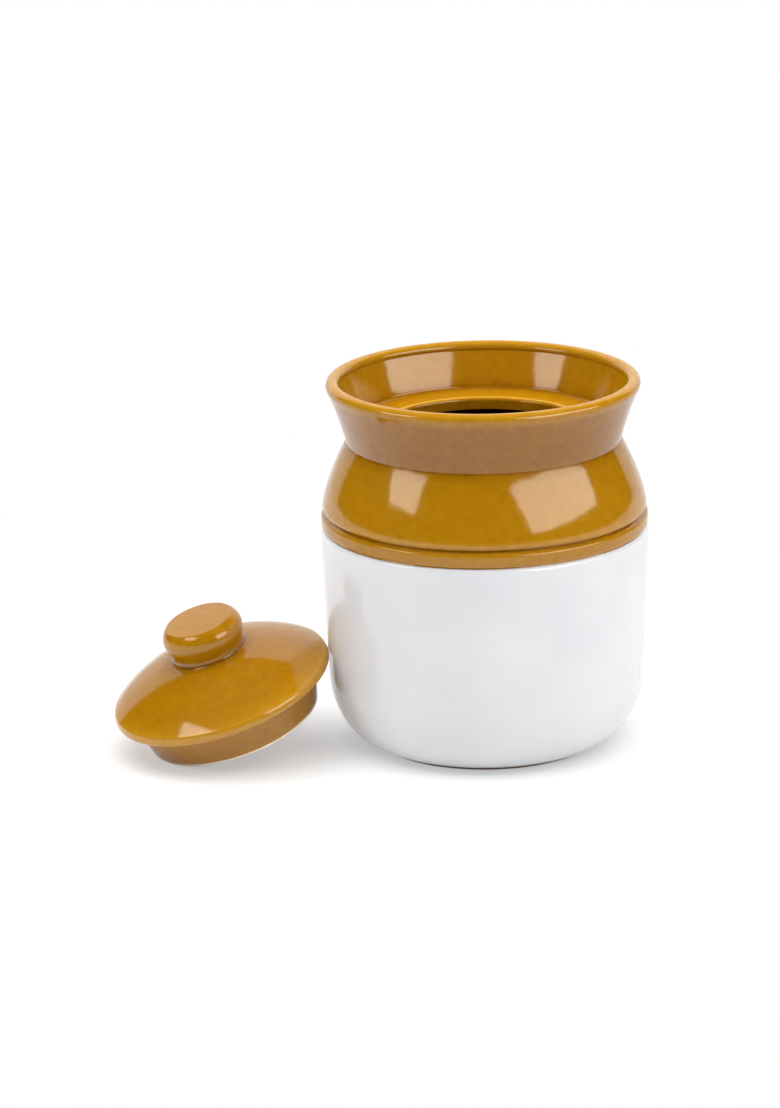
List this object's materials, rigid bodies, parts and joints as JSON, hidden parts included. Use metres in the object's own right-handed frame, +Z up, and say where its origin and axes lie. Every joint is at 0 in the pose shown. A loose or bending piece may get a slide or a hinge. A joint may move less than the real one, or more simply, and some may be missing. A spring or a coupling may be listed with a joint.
{
  "type": "water seal pickle jar",
  "caption": "Round glazed stoneware pickle jar with a flared water collar and an inner ledge, its low domed lid with a knob leaning against its side.",
  "frame": {"origin": "centre of the jar's foot, on the surface that the jar stands on", "axes": "+Z up the jar's axis out of its mouth; +X to the right with the leaning lid on the -X side; -Y towards the front"},
  "size_m": [0.2471, 0.1504, 0.1706],
  "materials": {
    "ochre_glaze": "glossy",
    "white_glaze": "glossy",
    "bare_stoneware": "matte"
  },
  "bodies": {
    "jar": {"foot_ring": "bare_stoneware", "jar_base": "white_glaze", "jar_wall": "white_glaze", "girth_bead": "ochre_glaze", "shoulder": "ochre_glaze", "gallery_ledge": "ochre_glaze", "collar": "ochre_glaze", "collar_rim": "ochre_glaze"},
    "lid": {"lid_dome": "ochre_glaze", "lid_skirt": "ochre_glaze", "lid_knob": "ochre_glaze"}
  },
  "joints": [
    {"name": "lid_lift", "type": "slide", "parent": "jar", "child": "lid", "axis": [-0.2758, -0.1466, 0.95], "range_m": [0, 0.19]}
  ]
}
